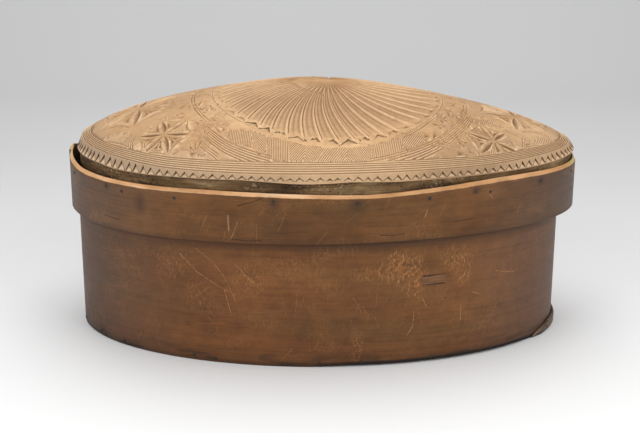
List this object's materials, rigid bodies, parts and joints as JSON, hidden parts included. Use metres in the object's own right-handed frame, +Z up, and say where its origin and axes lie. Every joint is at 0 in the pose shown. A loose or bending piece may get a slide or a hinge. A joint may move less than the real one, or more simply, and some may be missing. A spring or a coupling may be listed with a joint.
{
  "type": "oval bentwood box",
  "caption": "Oval bentwood box with a nailed base and a lift-off lid: a bent band around a thick domed board with chip-carved ornament.",
  "frame": {"origin": "centre of the oval foot, on the surface it stands on", "axes": "+X along the length towards the lid's narrower end, +Y to the back where the wall is lapped, +Z up"},
  "size_m": [0.4823, 0.2928, 0.2338],
  "materials": {
    "wall_wood": "old brown varnish, worn and scratched",
    "bottom_wood": "bare aged board",
    "band_wood": "old brown varnish, honey worn edges",
    "carved_wood": "bare carved wood, tan, dry",
    "nail_iron": "rusted wrought iron"
  },
  "bodies": {
    "base": {"body_wall": "wall_wood", "bottom_board": "bottom_wood", "base_nails": "nail_iron", "wall_lap_nails": "nail_iron", "wall_patch": "wall_wood", "foot_lath": "wall_wood", "foot_lath_nails": "nail_iron"},
    "lid": {"lid_band": "band_wood", "lid_top": "carved_wood", "lid_nails": "nail_iron", "lid_lap_nails": "nail_iron"}
  },
  "joints": [
    {"name": "lid_lift", "type": "slide", "parent": "base", "child": "lid", "axis": [0, 0, 1], "range_m": [0, 0.15]}
  ]
}
